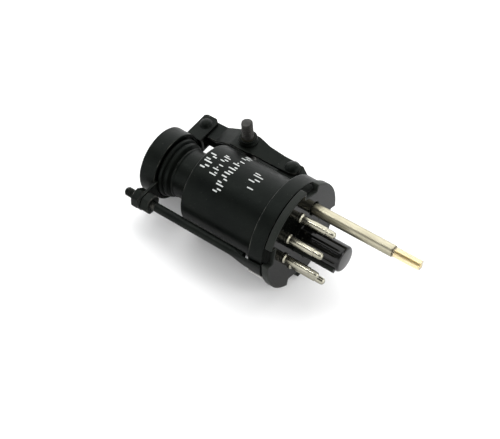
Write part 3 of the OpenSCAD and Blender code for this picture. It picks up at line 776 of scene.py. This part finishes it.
def make_head():
    s = Shape()
    r, floor, hub = HEAD_R, 46.7, 4.575  # the cup's floor holds the glass bead in its hub
    cup = [(r - WALL, 45.9, 0.12), (r, 45.9, 0.25), (r, HEAD_TOP, 0.3), (r - WALL, HEAD_TOP, 0.2),
           (r - WALL, floor + WALL, 0.35), (hub, floor + WALL, 0.15), (hub, floor, 0.05),
           (r - WALL, floor, 0.1)]
    s.turned(rounded(cup, steps=5), seg=144)
    s.piece("head", BLACK, "head", ["head_cup"], "black_enamel")

    s = Shape()
    cap = [(0, 48.8, 0), (0.5, 48.8, 0.03), (0.5, 48.3, 0.03), (3.175, 48.3, 0.15), (3.175, 51.3, 0.2),
           (2.675, 51.8, 0.4), (0.9, 51.8, 0.05), (0.7, 51.72, 0.05), (0, 51.72)]
    s.turned(rounded(cap, steps=5, closed=False, worn=0), axis_ends=True, seg=72)
    s.piece("top_cap", NICKEL, "head", ["reflector_cap"], "nickel")

    s = Shape()
    bead = [(0.5, floor), (4.5, floor), (4.5, 47.5, 0.2), (3.4, 48.3, 0.5), (0.5, 48.3)]
    s.turned(rounded(bead, 0.06, worn=0), seg=72)
    s.piece("cap_glass", GLASS, "head", ["cap_bead"], "glass")

    # the ear reaches from the cup's wall to a round end about the strut
    s = Shape()
    half, root = 3.0, 9.85
    x0 = math.sqrt(root * root - half * half)
    t = math.degrees(math.atan2(half, x0))
    edge = [(-x0, half)]
    edge += [(x - STRUT_X, y) for x, y, _ in (polar(a, half) for a in range(90, 271, 12))]
    edge += [(-x0, -half)] + [polar(180 - (-t + 2 * t * k / 8), root)[:2] for k in range(1, 8)]
    s.plate(edge, 45.1, 45.9, holes=[disc_loop(-STRUT_X, 0, 1.625, 32)], edge=0.14)
    s.piece("ear", BLACK_THIN, "head", ["strut_ear"], "black_enamel")


# ---------------------------------------------------------------- strut

def make_strut():
    at = place(-STRUT_X)
    r = 1.375
    s = Shape()
    rod = [(0, 9.4), (r, 9.4, 0.2), (r, 12.0, 0), (r, 25.0, 0), (r, 40.9, 0.1), (r - 0.2, 41.2, 0.05),
           (0, 41.2)]
    s.turned(rounded(rod, closed=False, steps=3, worn=0.6), at=at, seg=48, axis_ends=True)
    threaded(s, r, 0.62, 41.0, 52.4, at, depth=0.19, chamfer=0.5, fade_low=False)
    s.piece("strut", BLACK_THIN, "valve", ["strut_rod"], "black_enamel", sharp=55)

    for name, z, turn in (("strut_nut_outer", 46.0, 12), ("strut_nut_inner", 42.4, 34)):
        s = Shape()
        hexagon(s, 5.5, 1.4, z, z + 2.6, at @ Matrix.Rotation(math.radians(turn), 4, "Z"))
        s.piece(name + "_hex", BLACK_THIN, "valve", [name], "black_enamel", sharp=28)

    # flattened foot, from the round rod to a band that hugs the shell
    s = Shape()
    rings = []
    seg, skin, top, low = 36, SHELL_R + SLIP, 13.6, 2.4
    flattening = 5.4  # length over which it goes flat
    round_half, flat_half, band_half = 1.40, 0.45, 2.4  # half thickness at the rod, on the shell; half width
    stations = [(top, 0.86), (13.55, 0.95)] + [(13.5 - 11.0 * k / 40, 1.0) for k in range(41)]
    stations += [(2.42, 0.9), (low, 0.8)]
    for z, full in stations:
        t = min(1.0, max(0.0, (top - z) / flattening))
        t = t * t * (3 - 2 * t)
        spread = min(1.0, max(0.0, (top - z) / (top - low)))
        wide = (round_half + (band_half - round_half) * spread) * full
        thick = (round_half * (1 - t) + flat_half * t) * full
        centre = STRUT_X * (1 - t) + (skin + flat_half) * t
        power = 1.0 - 0.45 * t  # squares the section off as it flattens
        ring = []
        for i in range(seg):
            a = math.tau * i / seg
            u = math.copysign(abs(math.cos(a)) ** power, math.cos(a)) * thick
            v = math.copysign(abs(math.sin(a)) ** power, math.sin(a)) * wide
            sag = (skin - math.sqrt(skin * skin - v * v)) * t
            ring.append((-(centre + u - sag), v, z))
        rings.append(ring)
    s.loft(rings, [0.55] * len(rings))
    s.piece("foot", BLACK_THIN, "valve", ["strut_foot"], "black_enamel", sharp=50)

    s = Shape()
    x, y, _ = polar(166, SHELL_R + 0.3)
    wire = [(0, 2.4), (0.25, 2.4, 0.08), (0.25, 4.2, 0), (0.22, 4.6, 0.1), (0.25, 5.0, 0),
            (0.25, 7.6, 0.08), (0, 7.6)]
    s.turned(rounded(wire, closed=False, worn=0), at=place(x, y), seg=24, axis_ends=True)
    s.piece("short_wire", STEEL, "valve", ["foot_wire"], "steel")


# ---------------------------------------------------------------- tuner

PLATE_IN, PLATE_OUT = 2.0, 2.9  # the brackets' plates, from the middle plane
WEB_HALF = 2.88  # half width of the web between them


def side_plate(s, outline, side, holes):
    """One of a bracket's two plates, beside the bow's middle plane; side is -1 for the upper one."""
    flip = ACROSS if side < 0 else Matrix.Scale(-1, 4, (0, 1, 0)) @ ACROSS
    count = len(s.faces)
    s.plate(outline, PLATE_IN, PLATE_OUT, holes=holes, edge=0.14, at=flip)
    if side > 0:
        s.faces[count:] = [tuple(reversed(f)) for f in s.faces[count:]]


def make_brackets():
    can_low, can_high, head_low, head_high = 7.6, 18.8, 44.7, 50.2
    can = [(12.35, can_low), (15.9, can_low), (17.6, 10.8), (19.2, 13.2), (19.2, 17.6), (18.4, can_high),
           (12.35, can_high)]
    head = [(10.3, head_low), (18.9, head_low), (20.0, 45.9), (20.0, 49.3), (19.3, head_high),
            (10.3, head_high)]
    for name, outline, radius, low, high, wall, web, body, node, hole_z in (
            ("can_bracket", can, 0.5, can_low, can_high, CAN_R + SLIP, 13.6, "valve", "base_bracket",
             LOW_RIVET_Z),
            ("head_bracket_plates", head, 0.4, head_low, head_high, HEAD_R + SLIP, 11.6, "head",
             "head_bracket", HIGH_RIVET_Z)):
        s = Shape()
        for side in (-1, 1):
            side_plate(s, flat2(rounded(outline, radius, steps=3)), side,
                       [disc_loop(SCREW_X, hole_z, 1.23, 28)])
        # the web between the plates, hollowed to the wall it sits on
        t = math.degrees(math.asin(WEB_HALF / wall))
        arc = [polar(t - 2 * t * k / 8, wall)[:2] for k in range(9)]
        s.plate([(web, -WEB_HALF), (web, WEB_HALF)] + arc, low, high, edge=0.12)
        s.piece(name, BLACK_THIN, body, [node], "black_enamel")


# The strips: (x, z) along both edges above the round low end, and (z, distance from the middle plane)
ROUND_TOP, STRIP_TOP = 15.72, 50.0
LEFT = [(14.24, ROUND_TOP), (14.0, 19.5), (13.2, 27), (12.7, 29), (12.7, 34.6), (13.3, 41.4),
        (13.2, STRIP_TOP)]
RIGHT = [(18.98, ROUND_TOP), (18.9, 24.9), (19.8, 29.4), (19.9, 35), (19.8, 41.4), (19.6, STRIP_TOP)]
BOW = [(STRIP_TOP, 1.5), (41.4, 1.5), (35.2, 4.6), (33.6, BOW_REACH), (28.8, BOW_REACH), (27.4, 4.75),
       (19.4, 3.3), (12.0, 3.3)]


def between(table, z):
    """x at a height, from points sorted by rising height."""
    for (x0, z0), (x1, z1) in zip(table, table[1:]):
        if z <= z1:
            t = (z - z0) / (z1 - z0)
            t = min(1.0, max(0.0, t))
            return x0 + (x1 - x0) * t
    return table[-1][0]


def smooth_table(table, radius, steps):
    """Rounds the bends of a table of two columns."""
    return flat2(rounded(table, radius, steps=steps, closed=False, worn=0))


def make_strips():
    left, right = smooth_table(LEFT, 1.2, 6), smooth_table(RIGHT, 1.5, 6)
    rise = sorted(((y, z) for z, y in smooth_table(BOW, 0.7, 8)), key=lambda p: p[1])
    thick, edge, joint = 0.8, 0.17, SCREW_Z
    end_r, span = 2.4, 0.15  # radius of the low end; half the height over which the slope is measured

    def station(z, side, shrink):
        """The strip's rounded section at a height, as (point, wear)."""
        if z < ROUND_TOP:
            half = math.sqrt(max(0.0, end_r ** 2 - (z - LOW_RIVET_Z) ** 2))
            x0, x1 = SCREW_X - half, SCREW_X + half
        else:
            x0, x1 = between(left, z), between(right, z)
        x0, x1 = x0 + shrink, x1 - shrink
        y = between(rise, z)
        slope = (between(rise, z + span) - between(rise, z - span)) / (2 * span)
        n = Vector((0, 1, -slope)).normalized()
        half_t = thick / 2 - shrink
        e = min(edge, half_t * 0.9, max(0.01, (x1 - x0) / 2 * 0.9))
        guard = e + min(0.3, 0.3 * (x1 - x0))
        section = []
        for face, near, far in ((1, x1, x0), (-1, x0, x1)):
            for edge_x, start in ((near, 0 if face > 0 else 180), (far, 90 if face > 0 else 270)):
                inward = -1 if edge_x == x1 else 1
                cx, cn = edge_x + inward * e, face * (half_t - e)
                turns = (polar(start + 30 * k, e) for k in range(4))
                corner = [(cx + dx, cn + dn, 0.8) for dx, dn, _ in turns]
                flat = (edge_x + inward * guard, face * half_t, 0.0)
                section += corner + [flat] if edge_x == near else [flat] + corner
        return [((px, side * (y + n.y * pn), z + n.z * pn), w) for px, pn, w in section]

    # heights, each with how much the section shrinks there, so that the ends are rounded
    arc = [LOW_RIVET_Z - end_r * math.cos(math.radians(a)) for a in (4, 9, 15, 22, 30, 40, 50, 62, 76, 90)]
    heights = {
        "base": [(arc[0], 0.12)] + [(z, 0.0) for z in arc]
        + [(arc[-1] + (joint - arc[-1]) * k / 44, 0.0) for k in range(1, 45)],
        "head": [(joint + (49.9 - joint) * k / 48, 0.0) for k in range(49)]
        + [(49.97, 0.05), (STRIP_TOP, 0.13)],
    }
    # each strip is made in two halves, below and above the screw's height
    for label, side, nut in (("upper", -1, "upper_nut"), ("lower", 1, "lower_nut")):
        for part, far, near in (("base", 18.5, joint - 1.5), ("head", 44.0, joint + 1.5)):
            s = Shape()
            ids = [[s.point(p, w) for p, w in station(z, side, shrink)] for z, shrink in heights[part]]
            flip = side > 0
            for a, b in zip(ids, ids[1:]):
                s.band(a, b, flip)
            first, last = tuple(ids[0]), tuple(ids[-1])
            s.faces.append(first if flip else tuple(reversed(first)))
            s.faces.append(tuple(reversed(last)) if flip else last)
            obj = s.piece("bow_%s_%s_side" % (label, part), BLACK_THIN, None, ["bow_strip_" + label],
                          "black_enamel", sharp=45)
            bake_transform(obj)


def make_rivets():
    for name, z, half, r, body, node in (
            ("can_rivet", LOW_RIVET_Z, 3.7, 2.4, "valve", "base_rivet"),
            ("bow_rivet", HIGH_RIVET_Z, 2.9, 2.1, "head", "head_rivet")):
        s = Shape()
        dome, steps, shank = r * 0.55, 12, 1.2
        ball = (r * r + dome * dome) / (2 * dome)
        reach = math.asin(min(1.0, (r - 0.12) / ball))
        up = [(0.0, half + dome, 0.55)]
        for k in range(1, steps + 1):
            a = reach * k / steps
            up.append((ball * math.sin(a), half + dome - ball + ball * math.cos(a), 0.2))
        up += [(r - 0.02, half + 0.16, 0.9), (r, half + 0.08, 0.8), (r, half + 0.01, 0.2), (shank, half, 0.0)]
        down = [(x, -z1, w) for x, z1, w in reversed(up)]
        s.turned(up + down, at=place(SCREW_X, 0, z) @ ACROSS, seg=64, axis_ends=True)
        s.piece(name, BLACK_THIN, body, [node], "black_enamel", sharp=50)


def make_screw():
    # the low end reaches down to the floor, and no further
    down = BASE_R - (SCREW_Z + SCREW_R - EDGE - BASE_T) * math.tan(LEAN)
    at = place(SCREW_X, 0, SCREW_Z) @ ACROSS
    s = Shape()
    threaded(s, SCREW_R, SCREW_PITCH, -down, 13.3, at, depth=0.34, chamfer=0.22, seg=64)
    s.piece("tuning_screw", BLACKENED_STEEL_AND_SHADE, "tuner_screw", ["tuner_screw"], "black_enamel", sharp=60)

    near, far, bore, flange, bush_bore = 5.35, 7.25, 2.18, 2.9, 1.8
    nut = [(bore, near), (flange, near, 0.15), (flange, near + 0.75, 0.12), (2.72, near + 0.95, 0.12),
           (2.72, far, 0.3), (bore, far)]
    bush = [(bush_bore, 4.1), (2.15, 4.1, 0.1), (2.15, 7.55, 0.2), (bush_bore, 7.55)]
    for label, side in (("upper", 1), ("lower", -1)):
        for what, profile, mat, slot in (("nut", nut, BLACK_THIN, "black_enamel"),
                                         ("bush", bush, DIRTY_BRASS, "brass")):
            if side < 0:
                profile = [(r, -z, *rest) for r, z, *rest in reversed(profile)]
            s = Shape()
            s.turned(rounded(profile, 0.08, worn=0.55), at=at, seg=72)
            s.piece("tuning_%s_%s" % (what, label), mat, label + "_nut", ["tuner_%s_%s" % (what, label)],
                    slot)


# ---------------------------------------------------------------- markings

def make_marks():
    """Short white bars and ticks in the four places where the valve carries print."""
    s = Shape()
    base, top = CAN_R - 0.02, CAN_R + 0.02

    def bar(angle, z0, z1, width_mm):
        half = math.degrees(width_mm / 2 / CAN_R)
        s.sector([(base, z0, 0), (top, z0, 0), (top, z1, 0), (base, z1, 0)], angle - half, angle + half, 3)

    # from where to where, as shares of the height, the two bars of a mark reach
    pattern = [(0.10, 1.0, 0.62, 0.45), (0.0, 0.62, 1.0, 1.0), (0.38, 1.0, 0.0, 0.55), (0.0, 1.0, 0.45, 1.0),
               (0.0, 0.5, 0.30, 1.0), (0.2, 1.0, 0.0, 0.7), (0.0, 1.0, 0.0, 0.4)]
    lines = ((30.5, 33.1, -107, -77, 3, 0.42), (27.1, 29.3, -109, -69, 5, 0.34),
             (23.2, 25.6, -127, -43, 9, 0.38), (15.0, 18.2, -103, -71, 3, 0.34))
    for z0, z1, a0, a1, count, stroke in lines:
        step, tall = (a1 - a0) / count, z1 - z0
        for k in range(count):
            low_a, high_a, low_b, high_b = pattern[(k + int(z0)) % len(pattern)]
            a = a0 + step * (k + 0.5)
            bar(a - step * 0.2, z0 + tall * low_a, z0 + tall * high_a, stroke)
            bar(a + step * 0.2, z0 + tall * min(low_b, high_b), z0 + tall * max(low_b, high_b), stroke)
    s.piece("white_marks", INK, "valve", sharp=30, weighted=False)


for make in (make_base, make_shell, make_pins, make_probe, make_can, make_diaphragm, make_head, make_strut,
             make_brackets, make_strips, make_rivets, make_screw, make_marks):
    make()

# Nodes whose CAD shape stays get their slot's material. The header, seen through the base's open holes, gets
# the dark blackened steel instead, as painted shade for the dark inside of the holes.
for part in frame["record"]["subparts"]:
    node = frame["nodes"].get(part["node"])
    if node is not None and not node.hide_render:
        node.data.materials.clear()
        shaded_header = part["node"] == "stem_header"
        node.data.materials.append(BLACKENED_STEEL_AND_SHADE if shaded_header else FINISH[part["material_slot"]])


# ---------------------------------------------------------------- studio

WORLD_LIGHT = 3.2   # radiance of the bright band round the horizon
FRONT_LIGHT = 0.72  # share of it on the near side, towards -Y
SIDE_REACH = 0.6    # the share rises to 1 between this far towards -Y and towards +Y
SKY = ((0.0, 1.0), (0.42, 0.85), (0.62, 0.10), (0.9, 0.08))  # height and share of the light
FLOOR_HALF = 3.0    # half a side, in metres


def make_studio():
    level = CAD_BOX[0].z
    mesh = bpy.data.meshes.new("floor")
    corners = ((-1, -1), (1, -1), (1, 1), (-1, 1))
    mesh.from_pydata([(x * FLOOR_HALF, y * FLOOR_HALF, level) for x, y in corners], [], [(0, 1, 2, 3)])
    mesh.materials.append(paper())
    floor = bpy.data.objects.new("floor", mesh)
    SCENE.collection.objects.link(floor)

    world = bpy.data.worlds.new("studio")
    SCENE.world = world
    world.use_nodes = True
    tree = world.node_tree
    tree.nodes.clear()
    new, link = tree.nodes.new, tree.links.new
    out = new("ShaderNodeOutputWorld")
    back = new("ShaderNodeBackground")
    coords = new("ShaderNodeTexCoord")
    split = new("ShaderNodeSeparateXYZ")
    band = new("ShaderNodeValToRGB")
    side = new("ShaderNodeMapRange")
    both = new("ShaderNodeVectorMath")
    both.operation = "SCALE"
    link(coords.outputs["Generated"], split.inputs["Vector"])
    link(split.outputs["Z"], band.inputs["Fac"])
    link(split.outputs["Y"], side.inputs["Value"])
    link(band.outputs["Color"], both.inputs["Vector"])
    link(side.outputs["Result"], both.inputs["Scale"])
    link(both.outputs["Vector"], back.inputs["Color"])
    link(back.outputs["Background"], out.inputs["Surface"])
    fill(band.color_ramp, SKY)
    side.inputs["From Min"].default_value = -SIDE_REACH
    side.inputs["From Max"].default_value = SIDE_REACH
    side.inputs["To Min"].default_value = FRONT_LIGHT
    back.inputs["Strength"].default_value = WORLD_LIGHT

    def softbox(name, at, size_x, size_y, power):
        """A rectangular lamp that faces the valve."""
        data = bpy.data.lights.new(name, "AREA")
        data.shape = "RECTANGLE"
        data.size, data.size_y, data.energy = size_x, size_y, power
        light = bpy.data.objects.new(name, data)
        SCENE.collection.objects.link(light)
        light.location = at
        light.rotation_euler = (-Vector(at)).to_track_quat("-Z", "Y").to_euler()

    softbox("key_box", (-0.30, 0.38, 0.74), 0.95, 0.95, 7.2)
    softbox("strip_box", (-0.46, -0.15, 0.75), 0.4, 0.03, 1.2)
    softbox("side_box", (0.65, 0.15, 0.55), 0.25, 0.5, 2.0)


make_studio()
